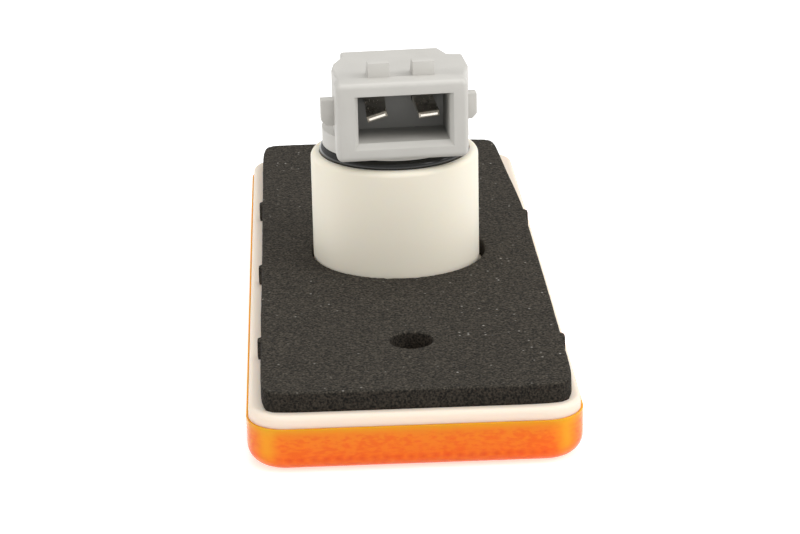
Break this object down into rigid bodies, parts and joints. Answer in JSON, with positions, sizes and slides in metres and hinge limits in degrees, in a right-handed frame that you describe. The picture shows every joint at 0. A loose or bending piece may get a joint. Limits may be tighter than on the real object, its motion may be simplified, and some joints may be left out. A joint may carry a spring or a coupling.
{
  "type": "clearance lamp",
  "caption": "Rectangular amber clearance lamp with a white flanged housing, black foam gasket and a round tower that carries a grey bulb holder with a two-way connector.",
  "frame": {"origin": "middle of the lens face, on the axis of the tower", "axes": "+X across the lamp, +Y along it away from the connector's mouth, +Z from the lens to the bulb holder"},
  "size_m": [0.042, 0.1084, 0.0395],
  "materials": {
    "amber_lens": "clear amber, polished",
    "white_housing": "ivory white, slightly translucent",
    "black_foam": "closed-cell foam, matt",
    "grey_holder": "light grey, satin",
    "black_rubber": "smooth, a little oily",
    "tinned_metal": "tinned, bright",
    "clear_glass": "clear",
    "bulb_wire": "drawn wire",
    "filament_wire": "tungsten coil"
  },
  "bodies": {
    "root": {"lens": "amber_lens", "housing": "white_housing", "foam_gasket": "black_foam", "bulb_holder": "grey_holder", "o_ring": "black_rubber", "terminal_left": "tinned_metal", "terminal_right": "tinned_metal", "bulb_glass": "clear_glass", "bulb_lead_left": "bulb_wire", "bulb_lead_right": "bulb_wire", "bulb_filament": "filament_wire"}
  },
  "joints": []
}
